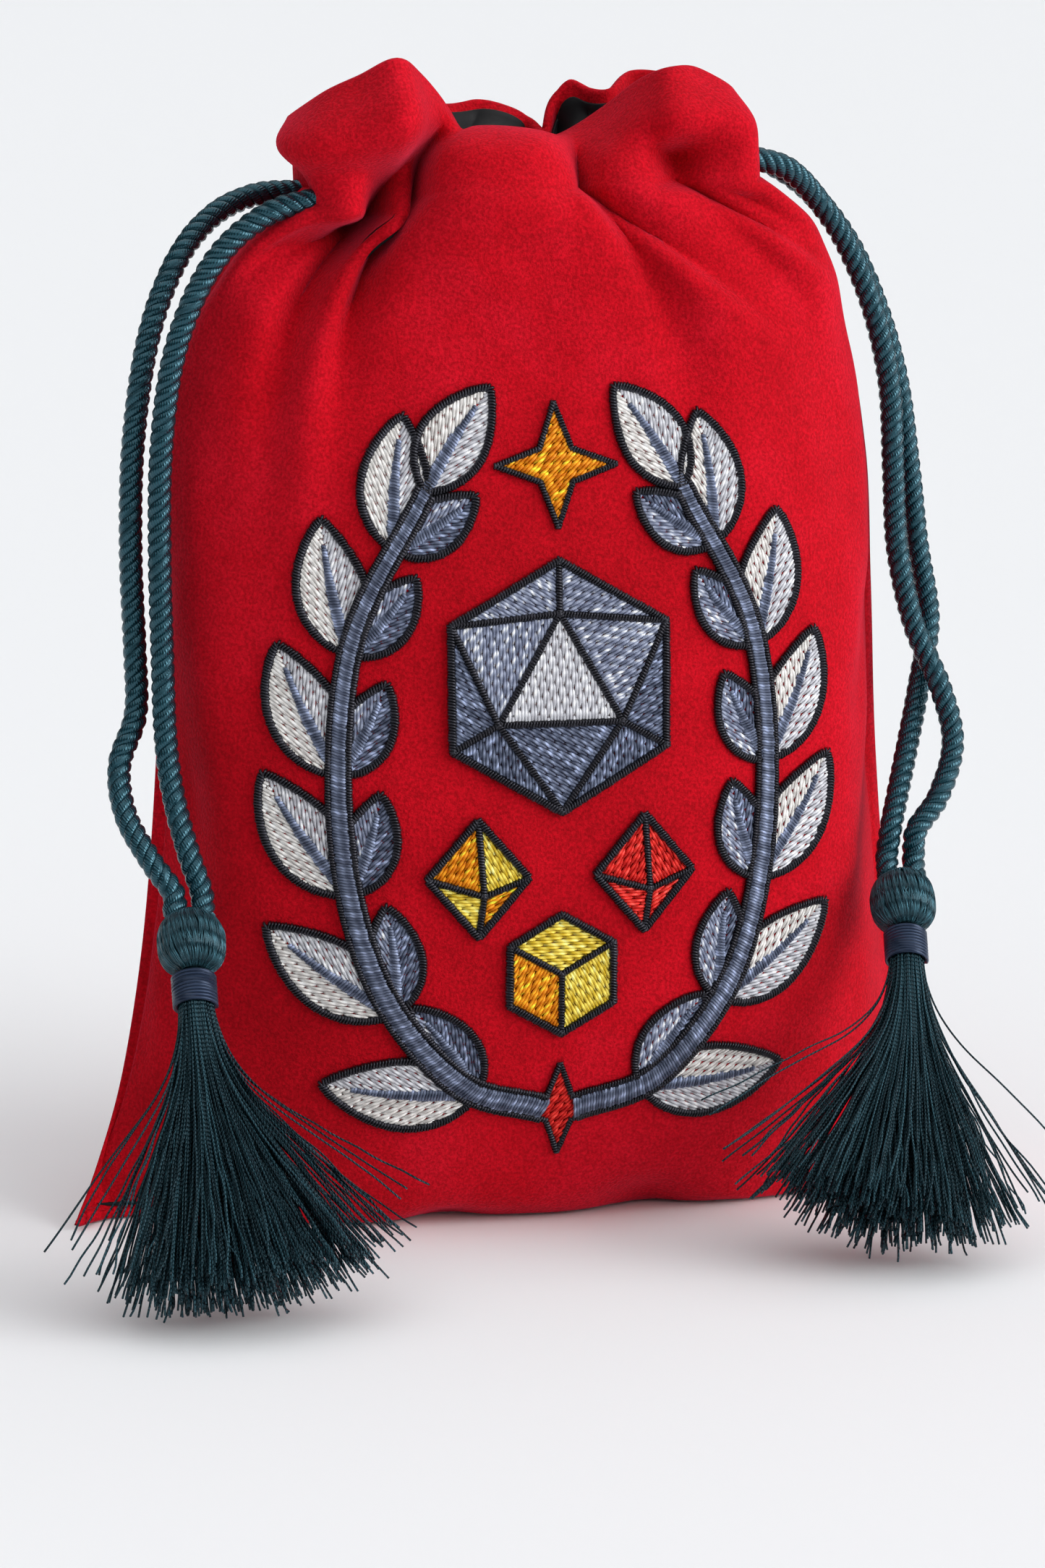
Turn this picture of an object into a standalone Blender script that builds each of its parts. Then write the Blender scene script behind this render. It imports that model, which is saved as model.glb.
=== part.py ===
"""Drawstring dice bag: a lined velvet pouch, standing, with its mouth drawn in by two tasselled cords.

Frame: +X is the bag's left-to-right as seen from the front, the embroidered front faces -Y, +Z is up,
and the origin is the middle of the flat underside. All the named sizes are in millimetres.
"""
import math

import bmesh
import bpy
import numpy as np
from mathutils import Matrix, Vector
from mathutils.bvhtree import BVHTree

MM = 0.001
GAP = 0.3

# Pouch: the side seam as (distance from the middle, height), and the front's middle line as (depth, height)
SIDE_SEAM = [(59, 0), (56.5, 5), (52.5, 17), (49, 35), (47, 57), (46, 80), (45, 98), (42, 112), (37, 121), (30, 126)]
MIDDLE_LINE = [(0, 0), (12, 0), (18, 5), (20.5, 24), (21, 48), (20, 74), (18, 95), (15.5, 110), (13, 120), (10.5, 126)]
PANEL_ROWS = 18
PANEL_COLUMNS = 16
LENS_POWER = 2.6
LENS_ROUNDNESS = 0.85
BASE_FLAT_SHARE = 0.6
VELVET = 1.2
SATIN = 0.5
LAYER_GAP = 0.4

# Neck: each drawstring channel is a bar of gathered cloth with one bore for each cord
NECK_HALF_WIDTH = 25.5
CHANNEL_Y = 8.5
CHANNEL_DEPTH = 5.6
CHANNEL_BOTTOM = 126.3
CHANNEL_TOP = 136.1
CHANNEL_ROUNDING = 1.6
BORE_RADIUS = 1.9
LEFT_CORD_Z = 129.0
RIGHT_CORD_Z = 133.4

# Frills: the free upper edges of the two panels, pleated and leaning outwards
FRILL_BOTTOM = CHANNEL_TOP + GAP
FRILL_TOP = 145.5
FRILL_LINING_TOP = 141.0
FRILL_FLARE = 0.28
FRILL_LEAN = 0.35
PLEAT_SLOPE = 0.26
PLEATS = 7
FRILL_COLUMNS = 42
FRILL_ROWS = 3

# Embroidery: a raised patch of stitching on the front panel
EMBROIDERY_CENTRE = (0.0, 60.0)
EMBROIDERY_HALF_SIZE = (37.0, 42.0)
EMBROIDERY_LOBES = 6
EMBROIDERY_THICKNESS = 0.9
EMBROIDERY_GAP = 0.6
EMBROIDERY_CELLS = 14

# Cords: routes of the four free strands, from inside the channel to the tassel's head
CORD_RADIUS = 1.5
CORD_STEP = 7.0
STRAND_ROOT = 12.0
LEFT_STRAND_FRONT = [
    (-12, -8.5, 129), (-20, -8.5, 129), (-27, -8.5, 129), (-33, -8.6, 127.5), (-38.5, -8.6, 123.5),
    (-42.5, -8.4, 117.5), (-45.5, -8.4, 109), (-47, -8.4, 98), (-47.4, -8.8, 86), (-47.4, -9.8, 74),
    (-47.4, -12, 63), (-46.8, -15, 56), (-45.6, -18.6, 50),
]
LEFT_STRAND_BACK = [
    (-12, 8.5, 129), (-20, 8.5, 129), (-27, 8.5, 129), (-33, 7.2, 128.6), (-39, 3.6, 126), (-44, -0.4, 120.5),
    (-47.8, -3.4, 111.5), (-50, -5, 99), (-50.6, -5.6, 86), (-50.4, -6.4, 74), (-50.6, -8, 66), (-53, -10.4, 60),
    (-52.8, -14, 54.5), (-50.4, -18.2, 49.6),
]
RIGHT_STRAND_FRONT = [
    (12, -8.5, 133.4), (20, -8.5, 133.4), (27, -8.5, 133.4), (32.5, -6.8, 132), (37.5, -3.6, 127.8),
    (42, -1.8, 121.8), (45.6, -1.6, 113.5), (47.8, -1.8, 104), (48.4, -2.2, 93), (48.8, -3.2, 83),
    (50.6, -5, 73.5), (53.6, -7.4, 65.5), (54.8, -9.4, 58.5), (52.4, -11.4, 52), (49, -13, 48),
]
RIGHT_STRAND_BACK = [
    (12, 8.5, 133.4), (20, 8.5, 133.4), (27, 8.5, 133.4), (33, 7.6, 132.4), (38.6, 5.2, 128.6),
    (43.6, 3.4, 122), (47.4, 2.6, 113.5), (50.2, 2.4, 104), (51.8, 2, 93), (52.8, 1, 83), (53.8, -1.2, 73.5),
    (51.8, -3.8, 65), (49.6, -6.6, 58), (47.2, -10, 51.5), (45.8, -12.2, 48),
]
LOOP_REACH = 31.5
LOOP_CORNER_Y = 6.2
LOOP_CORNER_IN = 1.2

# Tassels: parts turned on an axis that runs down from the pivot, where the strands meet the head
HEAD_TOP = 0.8
HEAD_LENGTH = 7.6
HEAD_RADIUS = 4.1
HEAD_WALL_RADIUS = 2.9
HEAD_HOLE_RADIUS = 1.3
KNOT_RADIUS = 2.5
BINDING_LENGTH = 4.6
BINDING_RADIUS = 2.8
BINDING_BORE = 2.15
SKIRT_NECK_RADIUS = 1.8
SKIRT_END = 53.0
SKIRT_HALF_WIDTH = 12.0
SKIRT_HALF_THICKNESS = 4.0
FLOOR_CLEARANCE = 0.3
STRAND_SPACING = 1.75
LEFT_PIVOT = (-46.2, -22.0)
LEFT_TOE = (-48.0, -56.0)
RIGHT_PIVOT = (46.6, -14.5)
RIGHT_TOE = (39.5, -50.0)

COLOURS = {
    "velvet": (0.42, 0.01, 0.03),
    "satin": (0.02, 0.02, 0.025),
    "stitching": (0.35, 0.38, 0.45),
    "cord": (0.02, 0.09, 0.12),
    "thread": (0.02, 0.05, 0.065),
    "binding": (0.04, 0.05, 0.08),
}
ROUGHNESS = {"velvet": 0.9, "satin": 0.35, "stitching": 0.5, "cord": 0.4, "thread": 0.45, "binding": 0.5}


def clear_scene():
    for old in list(bpy.data.objects):
        bpy.data.objects.remove(old)


def material(slot):
    made = bpy.data.materials.get(slot) or bpy.data.materials.new(slot)
    made.use_nodes = True
    shader = made.node_tree.nodes["Principled BSDF"]
    shader.inputs["Base Color"].default_value = (*COLOURS[slot], 1.0)
    shader.inputs["Roughness"].default_value = ROUGHNESS[slot]
    shader.inputs["Metallic"].default_value = 0.0
    return made


def add_object(name, data, slot, parent=None):
    made = bpy.data.objects.new(name, data)
    bpy.context.scene.collection.objects.link(made)
    made.data.materials.append(material(slot))
    if parent:
        made.parent = parent
        made.matrix_parent_inverse = parent.matrix_world.inverted()
    return made


def add_mesh(name, shape, slot, parent=None):
    """Turn a bmesh in millimetres into a named object in metres."""
    bmesh.ops.recalc_face_normals(shape, faces=shape.faces)
    bmesh.ops.scale(shape, vec=(MM, MM, MM), verts=shape.verts)
    mesh = bpy.data.meshes.new(name)
    shape.to_mesh(mesh)
    shape.free()
    mesh.shade_smooth()
    mesh.set_sharp_from_angle(angle=math.radians(40))
    return add_object(name, mesh, slot, parent)


def add_pivot(name, at):
    """An empty on a joint's axis, which the moving pieces are parented to."""
    pivot = bpy.data.objects.new(name, None)
    bpy.context.scene.collection.objects.link(pivot)
    pivot.location = Vector(at) * MM
    bpy.context.view_layer.update()
    return pivot


def curve_through(points, shares):
    """Points at the given shares, 0 to 1, of a smooth curve that passes through every one of the points."""
    points = np.asarray(points, float)
    ends = 2 * points[[0, -1]] - points[[1, -2]]
    padded = np.vstack([ends[0], points, ends[1]])
    along = np.clip(np.asarray(shares) * (len(points) - 1), 0, len(points) - 1 - 1e-9)
    span = along.astype(int)
    t = (along - span)[:, None]
    a, b, c, d = (padded[span + k] for k in range(4))
    return 0.5 * (2 * b + (c - a) * t + (2 * a - 5 * b + 4 * c - d) * t**2 + (3 * b - a - 3 * c + d) * t**3)


def evenly_spaced(points, step):
    """Points about one step apart along the smooth curve through the given ones."""
    fine = curve_through(points, np.linspace(0, 1, 600))
    length = np.concatenate([[0], np.cumsum(np.linalg.norm(np.diff(fine, axis=0), axis=1))])
    wanted = np.linspace(0, length[-1], round(length[-1] / step) + 1)
    return np.column_stack([np.interp(wanted, length, fine[:, k]) for k in range(3)])


def slab(outside, inside):
    """A closed sheet between two matching grids of points, indexed [row][column]."""
    shape = bmesh.new()
    rows, columns = len(outside), len(outside[0])
    faces = [[[shape.verts.new(point) for point in row] for row in grid] for grid in (outside, inside)]
    for side in faces:
        for i in range(rows - 1):
            for j in range(columns - 1):
                shape.faces.new((side[i][j], side[i][j + 1], side[i + 1][j + 1], side[i + 1][j]))
    bottom_and_top = [[(i, j) for j in range(columns)] for i in (0, rows - 1)]
    sides = [[(i, j) for i in range(rows)] for j in (0, columns - 1)]
    for border in bottom_and_top + sides:
        for (i, j), (k, m) in zip(border, border[1:]):
            shape.faces.new((faces[0][i][j], faces[0][k][m], faces[1][k][m], faces[1][i][j]))
    return shape


def pouch_surface(side, inset):
    """The front (side -1) or back (side 1) outer surface, drawn in towards the pouch's inside by an inset."""
    shares = np.linspace(0, 1, PANEL_ROWS + 1)
    seam = np.maximum(curve_through(SIDE_SEAM, shares), 0)
    middle = np.maximum(curve_through(MIDDLE_LINE, shares), 0)
    across = np.sin(np.linspace(-1, 1, PANEL_COLUMNS + 1) * math.pi / 2)
    lens = (1 - np.abs(across) ** LENS_POWER) ** LENS_ROUNDNESS
    lift = np.clip((np.abs(across) - BASE_FLAT_SHARE) / (1 - BASE_FLAT_SHARE), 0, 1) ** 2
    height = seam[-1, 1]
    narrower = 1 - inset / seam[:, 0].min()
    thinner = 1 - inset / middle[:, 0].max()
    shorter = 1 - inset / height
    x = np.outer(seam[:, 0], across) * narrower
    y = side * (np.outer(middle[:, 0], lens) * thinner + GAP / 2)
    z = middle[:, 1:] + np.outer(seam[:, 1] - middle[:, 1], lift)
    return np.dstack([x, y, height - (height - z) * shorter])


def make_cloth_layers():
    layers = {"panel": ("velvet", 0, VELVET), "lining": ("satin", VELVET + LAYER_GAP, VELVET + LAYER_GAP + SATIN)}
    for layer, (slot, outer, inner) in layers.items():
        for place, side in (("front", -1), ("back", 1)):
            shape = slab(pouch_surface(side, outer), pouch_surface(side, inner))
            add_mesh(f"{place}_{layer}", shape, slot)


def round_cutter(name, y, z):
    shape = bmesh.new()
    turn = Matrix.Rotation(math.pi / 2, 4, "Y")
    bmesh.ops.create_cone(
        shape, cap_ends=True, segments=16, radius1=BORE_RADIUS, radius2=BORE_RADIUS,
        depth=3 * NECK_HALF_WIDTH, matrix=Matrix.Translation((0, y, z)) @ turn,
    )
    cutter = add_mesh(name, shape, "satin")
    cutter.hide_render = True
    cutter.display_type = "WIRE"
    return cutter


def make_channel(place, side):
    shape = bmesh.new()
    size = (2 * NECK_HALF_WIDTH, CHANNEL_DEPTH, CHANNEL_TOP - CHANNEL_BOTTOM)
    centre = (0, side * CHANNEL_Y, (CHANNEL_TOP + CHANNEL_BOTTOM) / 2)
    bmesh.ops.create_cube(shape, size=1, matrix=Matrix.Translation(centre) @ Matrix.Diagonal((*size, 1)))
    long_edges = [e for e in shape.edges if abs(e.verts[0].co.x - e.verts[1].co.x) > 1]
    bmesh.ops.bevel(shape, geom=long_edges, offset=CHANNEL_ROUNDING, segments=3, profile=0.5, affect="EDGES")
    channel = add_mesh(f"{place}_channel", shape, "velvet")
    for cord, height in (("left", LEFT_CORD_Z), ("right", RIGHT_CORD_Z)):
        cut = channel.modifiers.new(f"{cord}_bore", "BOOLEAN")
        cut.operation = "DIFFERENCE"
        cut.object = round_cutter(f"{place}_{cord}_bore_cutter", side * CHANNEL_Y, height)


def frill_surface(side, top, inset):
    """One face of a pleated frill, moved towards the mouth by an inset."""
    across = np.linspace(-1, 1, FRILL_COLUMNS + 1)
    rise = np.linspace(0, top - FRILL_BOTTOM, FRILL_ROWS + 1)
    half_width = NECK_HALF_WIDTH + FRILL_FLARE * rise
    pleats = np.cos(PLEATS * math.pi * across)
    x = np.outer(half_width, across)
    out = CHANNEL_Y + VELVET / 2 - inset + FRILL_LEAN * rise
    y = side * (out[:, None] + np.outer(PLEAT_SLOPE * rise, pleats))
    z = np.repeat(FRILL_BOTTOM + rise, FRILL_COLUMNS + 1).reshape(x.shape)
    return np.dstack([x, y, z])


def make_frill(place, side):
    pivot = add_pivot(f"{place}_frill_pivot", (0, side * (CHANNEL_Y + VELVET / 2), FRILL_BOTTOM))
    outer_lining = VELVET + LAYER_GAP
    velvet = slab(frill_surface(side, FRILL_TOP, 0), frill_surface(side, FRILL_TOP, VELVET))
    satin = slab(
        frill_surface(side, FRILL_LINING_TOP, outer_lining),
        frill_surface(side, FRILL_LINING_TOP, outer_lining + SATIN),
    )
    add_mesh(f"{place}_frill", velvet, "velvet", pivot)
    add_mesh(f"{place}_frill_lining", satin, "satin", pivot)


def make_embroidery():
    """A lobed patch whose back follows the front panel."""
    grid = pouch_surface(-1, 0)
    columns = PANEL_COLUMNS + 1
    corners = [(i * columns + j) for i in range(PANEL_ROWS) for j in range(PANEL_COLUMNS)]
    quads = [(k, k + 1, k + columns + 1, k + columns) for k in corners]
    front = BVHTree.FromPolygons([tuple(p) for p in grid.reshape(-1, 3)], quads)
    steps = np.linspace(-1, 1, EMBROIDERY_CELLS + 1)
    surfaces = [[], []]
    for b in steps:
        for surface in surfaces:
            surface.append([])
        for a in steps:
            disc = Vector((a * math.sqrt(1 - b * b / 2), b * math.sqrt(1 - a * a / 2)))
            lobes = 1 + 0.07 * math.cos(EMBROIDERY_LOBES * math.atan2(disc.x, disc.y))
            x = EMBROIDERY_CENTRE[0] + EMBROIDERY_HALF_SIZE[0] * disc.x * lobes
            z = EMBROIDERY_CENTRE[1] + EMBROIDERY_HALF_SIZE[1] * disc.y * lobes
            y = front.ray_cast(Vector((x, -100, z)), Vector((0, 1, 0)))[0].y - EMBROIDERY_GAP
            surfaces[0][-1].append((x, y - EMBROIDERY_THICKNESS, z))
            surfaces[1][-1].append((x, y, z))
    add_mesh("embroidery", slab(*surfaces), "stitching")


def add_cord(name, points, parent):
    """A round cord along a smooth curve through the points."""
    data = bpy.data.curves.new(name, "CURVE")
    data.dimensions = "3D"
    data.bevel_depth = CORD_RADIUS * MM
    data.bevel_resolution = 2
    data.use_fill_caps = True
    line = data.splines.new("POLY")
    along = evenly_spaced(points, CORD_STEP)
    line.points.add(len(along) - 1)
    for place, point in zip(line.points, along):
        place.co = (*(point * MM), 1)
    line.use_smooth = True
    return add_object(name, data, "cord", parent)


def hidden_loop(side, height):
    """The stretch of one cord in the neck: in by the front channel, round the far slit, back by the rear one."""
    root = side * (STRAND_ROOT - GAP)
    turn = -side * LOOP_REACH
    straight = [root, 0, -side * (NECK_HALF_WIDTH - 3), -side * NECK_HALF_WIDTH, -side * (NECK_HALF_WIDTH + 1.5)]
    front = [(x, -CHANNEL_Y, height) for x in straight]
    corner = (turn + side * LOOP_CORNER_IN, -LOOP_CORNER_Y, height)
    back = [(x, -y, z) for x, y, z in reversed(front + [corner])]
    return front + [corner, (turn, 0, height)] + back


def tassel_matrix(pivot, toe):
    """Place a tassel's own axes: pivot at the origin, -Z down the tassel to its toe, X across the skirt."""
    reach = Vector((toe[0] - pivot[0], toe[1] - pivot[1]))
    drop = math.sqrt(SKIRT_END**2 - reach.length_squared)
    axis = Vector((reach.x, reach.y, -drop)).normalized()
    across = (Vector((1, 0, 0)) - axis * axis.x).normalized()
    through = across.cross(axis)
    edge = SKIRT_HALF_THICKNESS * abs(through.z) + SKIRT_HALF_WIDTH * abs(across.z)
    place = Matrix((across, through, -axis)).transposed().to_4x4()
    place.translation = (pivot[0], pivot[1], drop + edge + FLOOR_CLEARANCE)
    return place


def turned(profile, segments, place, closed):
    """A solid of revolution from (radius x, radius y, height) points; closed joins the last to the first."""
    shape = bmesh.new()
    rings = []
    for radius_x, radius_y, height in profile:
        angles = [2 * math.pi * k / segments for k in range(segments)]
        ring = [(radius_x * math.cos(a), radius_y * math.sin(a), height) for a in angles]
        rings.append([shape.verts.new(place @ Vector(point)) for point in ring])
    pairs = list(zip(rings, rings[1:])) + ([(rings[-1], rings[0])] if closed else [])
    for low, high in pairs:
        for k in range(segments):
            m = (k + 1) % segments
            shape.faces.new((low[k], low[m], high[m], high[k]))
    if not closed:
        shape.faces.new(rings[0])
        shape.faces.new(rings[-1])
    return shape


def head_profile():
    """A barrel with a hollow for the knot, open at both ends."""
    middle = -HEAD_TOP - HEAD_LENGTH / 2
    outer_angles = np.radians(np.linspace(62, -62, 7))
    outer = [(HEAD_RADIUS * math.cos(a), middle + HEAD_LENGTH / 2 * math.sin(a) / math.sin(outer_angles[0]))
             for a in outer_angles]
    inner_angles = np.radians(np.linspace(-52, 52, 5))
    inner = [(HEAD_WALL_RADIUS * math.cos(a), middle + HEAD_WALL_RADIUS * math.sin(a)) for a in inner_angles]
    bottom_hole, top_hole = (HEAD_HOLE_RADIUS, outer[-1][1]), (HEAD_HOLE_RADIUS, outer[0][1])
    return [(r, r, z) for r, z in [*outer, bottom_hole, *inner, top_hole]]


def skirt_profile(top, flare_from):
    """A neck inside the binding, then a flat fan whose edge gets wider towards the toe."""
    neck = [(SKIRT_NECK_RADIUS, SKIRT_NECK_RADIUS, z) for z in (top, flare_from)]
    fan = []
    for share in (0.12, 0.3, 0.5, 0.75, 1.0):
        width = SKIRT_NECK_RADIUS + (SKIRT_HALF_WIDTH - SKIRT_NECK_RADIUS) * share**0.75
        thickness = SKIRT_NECK_RADIUS + (SKIRT_HALF_THICKNESS - SKIRT_NECK_RADIUS) * share**0.6
        fan.append((width, thickness, flare_from - (SKIRT_END + flare_from) * share))
    return neck + fan


def make_tassel(place_name, place, parent):
    head_bottom = -HEAD_TOP - HEAD_LENGTH
    binding_top = head_bottom - GAP
    binding_bottom = binding_top - BINDING_LENGTH
    binding = [(BINDING_BORE, binding_top), (BINDING_RADIUS, binding_top),
               (BINDING_RADIUS, binding_bottom), (BINDING_BORE, binding_bottom)]
    knot = bmesh.new()
    centre = Matrix.Translation((0, 0, -HEAD_TOP - HEAD_LENGTH / 2))
    bmesh.ops.create_uvsphere(knot, u_segments=10, v_segments=6, radius=KNOT_RADIUS, matrix=place @ centre)
    pieces = {
        "knot": (knot, "cord"),
        "head": (turned(head_profile(), 16, place, True), "thread"),
        "binding": (turned([(r, r, z) for r, z in binding], 16, place, True), "binding"),
        "skirt": (turned(skirt_profile(binding_top - 0.2, binding_bottom), 20, place, False), "thread"),
    }
    for piece, (shape, slot) in pieces.items():
        add_mesh(f"{place_name}_tassel_{piece}", shape, slot, parent)


def make_drawstring(name, side, height, strands, pivot, toe):
    """One cord with its tassel; the strands end side by side just above the tassel's head."""
    place = tassel_matrix(pivot, toe)
    slide = add_pivot(f"{name}_drawstring_slide", (side * NECK_HALF_WIDTH, 0, height))
    swing = add_pivot(f"{name}_tassel_pivot", place.translation)
    for strand, (route, offset) in strands.items():
        lead_in = place @ Vector((offset, 0, 2.5))
        end = place @ Vector((offset, 0, 0))
        add_cord(f"{name}_strand_{strand}", route + [tuple(lead_in), tuple(end)], slide)
    add_cord(f"{name}_loop", hidden_loop(side, height), slide)
    make_tassel(name, place, swing)


def main():
    clear_scene()
    make_cloth_layers()
    make_embroidery()
    for place, side in (("front", -1), ("back", 1)):
        make_channel(place, side)
        make_frill(place, side)
    left = {"front": (LEFT_STRAND_FRONT, STRAND_SPACING), "back": (LEFT_STRAND_BACK, -STRAND_SPACING)}
    right = {"front": (RIGHT_STRAND_FRONT, STRAND_SPACING), "back": (RIGHT_STRAND_BACK, -STRAND_SPACING)}
    make_drawstring("left", -1, LEFT_CORD_Z, left, LEFT_PIVOT, LEFT_TOE)
    make_drawstring("right", 1, RIGHT_CORD_Z, right, RIGHT_PIVOT, RIGHT_TOE)


main()
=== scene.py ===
"""Looks of the drawstring dice bag: velvet pouch, satin lining, stitched motif, twisted cords, thread tassels.

Lengths are written in millimetres and turned into metres by MM. The front faces -Y and +Z is up.
"""
import math

import bpy
import numpy as np
from mathutils import Matrix, Vector
from mathutils.bvhtree import BVHTree


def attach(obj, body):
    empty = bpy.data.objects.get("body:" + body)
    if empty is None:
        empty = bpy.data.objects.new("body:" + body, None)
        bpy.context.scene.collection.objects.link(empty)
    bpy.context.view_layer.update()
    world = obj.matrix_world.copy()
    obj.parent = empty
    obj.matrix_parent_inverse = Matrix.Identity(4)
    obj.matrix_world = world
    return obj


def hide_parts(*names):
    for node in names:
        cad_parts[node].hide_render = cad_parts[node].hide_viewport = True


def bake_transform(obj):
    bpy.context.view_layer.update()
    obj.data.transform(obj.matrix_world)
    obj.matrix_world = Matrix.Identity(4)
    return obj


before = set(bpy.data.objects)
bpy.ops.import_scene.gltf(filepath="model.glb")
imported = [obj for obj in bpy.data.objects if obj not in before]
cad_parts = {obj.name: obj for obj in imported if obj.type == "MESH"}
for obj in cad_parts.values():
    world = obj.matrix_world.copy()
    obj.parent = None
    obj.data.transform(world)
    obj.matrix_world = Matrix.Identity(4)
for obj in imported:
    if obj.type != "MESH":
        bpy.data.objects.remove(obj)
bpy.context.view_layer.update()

MM = 0.001
RNG = np.random.default_rng(7)

# Camera
AZIMUTH, ELEVATION, DISTANCE = -12.0, 11.0, 560.0
TARGET = (0.1, 0.0, 53.5)
LENS, SENSOR = 150.0, 36.0
BACKDROP_RADIUS, BACKDROP_SIDES = 30000.0, 64

# Cloth, cut flat
FLAT_HALF = 59.0
FLAT_HEIGHT = 136.0
FRILL_HEIGHT = 20.0
COLUMNS, ROWS, FRILL_ROWS = 84, 96, 16
VELVET, SATIN = 1.2, 0.4
HEM = 1.5
CLOTH_LOW = 0.9
# How much of the cloth's thickness is left at the side seams, and how many columns it takes to get it all
SEAM_THINNEST, SEAM_COLUMNS = 0.25, 5
# The lining: its gap behind the velvet, its lowest point, how much smaller it is cut all round, and the rows at
# the bottom and the columns at each side of the velvet's grid that it leaves free
LINING_GAP, LINING_LOW, LINING_MARGIN = 0.05, 2.0, 5.0
LINING_FREE_ROWS, LINING_FREE_COLUMNS = 14, 10

# Shape that the filled pouch takes: half its width, or half its depth, then the height there
SIDE_SEAM = [
    (59.5, 0.8), (56.5, 6), (52.5, 18), (49.3, 36), (47.3, 57), (46.3, 78), (45.2, 96), (42, 111), (36.5, 120.5),
    (28, 126),
]
MIDDLE_LINE = [(0, 0.3), (9, 0.7), (15, 5), (19.8, 23), (21, 48), (20, 74), (18, 95), (15, 110), (12, 119.5), (9, 126)]

# Cords and tassels, as the solid model places them
PLIES, PLY_RADIUS, PLY_OFFSET, PLY_SEGMENTS = 3, 0.76, 0.76, 10
PLY_SHADES = (0.45, 0.6, 0.5)
LAY_LENGTH = 4.6
# Spacing of the points along a cord's mesh, and along the centre line that add_strand returns with it
CORD_STEP, ROUTE_STEP = 0.32, 2.0
LEFT_STRAND_FRONT = [
    (-12, -8.5, 129), (-20, -8.5, 129), (-27, -8.5, 129), (-33, -8.6, 127.5), (-38.5, -8.6, 123.5),
    (-42.5, -8.4, 117.5), (-45.5, -8.4, 109), (-47, -8.4, 98), (-47.4, -8.8, 86), (-47.4, -9.8, 74),
    (-47.4, -12, 63), (-46.8, -15, 56), (-45.6, -18.6, 50),
]
LEFT_STRAND_BACK = [
    (-12, 8.5, 129), (-20, 8.5, 129), (-27, 8.5, 129), (-33, 7.2, 128.6), (-39, 3.6, 126), (-44, -0.4, 120.5),
    (-47.8, -3.4, 111.5), (-50, -5, 99), (-50.6, -5.6, 86), (-50.4, -6.4, 74), (-50.6, -8, 66), (-53, -10.4, 60),
    (-52.8, -14, 54.5), (-50.4, -18.2, 49.6),
]
RIGHT_STRAND_FRONT = [
    (12, -8.5, 133.4), (20, -8.5, 133.4), (27, -8.5, 133.4), (32.5, -6.8, 132), (37.5, -3.6, 127.8),
    (42, -1.8, 121.8), (45.6, -1.6, 113.5), (47.8, -1.8, 104), (48.4, -2.2, 93), (48.8, -3.2, 83),
    (50.6, -5, 73.5), (53.6, -7.4, 65.5), (54.8, -9.4, 58.5), (52.4, -11.4, 52), (49, -13, 48),
]
RIGHT_STRAND_BACK = [
    (12, 8.5, 133.4), (20, 8.5, 133.4), (27, 8.5, 133.4), (33, 7.6, 132.4), (38.6, 5.2, 128.6),
    (43.6, 3.4, 122), (47.4, 2.6, 113.5), (50.2, 2.4, 104), (51.8, 2, 93), (52.8, 1, 83), (53.8, -1.2, 73.5),
    (51.8, -3.8, 65), (49.6, -6.6, 58), (47.2, -10, 51.5), (45.8, -12.2, 48),
]
# Each strand's place beside the tassel's axis, its straight run into the head, and how deep in the head it ends
STRAND_OFFSET, CORD_LEAD_IN, CORD_END_DEPTH = 1.75, 2.5, 1.0
# The point of each route that has fully left the channel when its drawstring is pulled
LEFT_PIVOT, LEFT_TOE = (-46.2, -22.0), (-48.0, -56.0)
RIGHT_PIVOT, RIGHT_TOE = (46.6, -14.5), (39.5, -50.0)
SKIRT_END, SKIRT_HALF_WIDTH, SKIRT_HALF_THICKNESS = 53.0, 12.0, 4.0
HEAD_TOP, HEAD_LENGTH, HEAD_RADIUS = 0.8, 7.6, 4.1
BINDING_LENGTH, BINDING_RADIUS = 4.6, 2.8
FLOOR_CLEARANCE = 0.3


# ---------------------------------------------------------------- helpers

def curve_through(points, shares):
    """Points at the given shares, 0 to 1, of a smooth curve that passes through every one of the points."""
    points = np.asarray(points, float)
    ends = 2 * points[[0, -1]] - points[[1, -2]]
    padded = np.concatenate([ends[:1], points, ends[1:]])
    along = np.clip(np.asarray(shares, float) * (len(points) - 1), 0, len(points) - 1 - 1e-9)
    span = along.astype(int)
    t = (along - span).reshape((-1,) + (1,) * (points.ndim - 1))
    a, b, c, d = (padded[span + k] for k in range(4))
    return 0.5 * (2 * b + (c - a) * t + (2 * a - 5 * b + 4 * c - d) * t**2 + (3 * b - a - 3 * c + d) * t**3)


def unit(vectors):
    return vectors / np.maximum(np.linalg.norm(vectors, axis=-1, keepdims=True), 1e-9)


def lengths_along(path):
    """The distance along a path to each of its points."""
    return np.concatenate([[0], np.cumsum(np.linalg.norm(np.diff(path, axis=0), axis=1))])


def evenly_spaced(points, step):
    """Points about one step apart along the smooth curve through the given ones."""
    fine = curve_through(points, np.linspace(0, 1, 60 * len(points)))
    length = lengths_along(fine)
    wanted = np.linspace(0, length[-1], round(length[-1] / step) + 1)
    return np.column_stack([np.interp(wanted, length, fine[:, k]) for k in range(fine.shape[1])])


def smoothstep(x):
    x = np.clip(x, 0, 1)
    return x * x * (3 - 2 * x)


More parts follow.
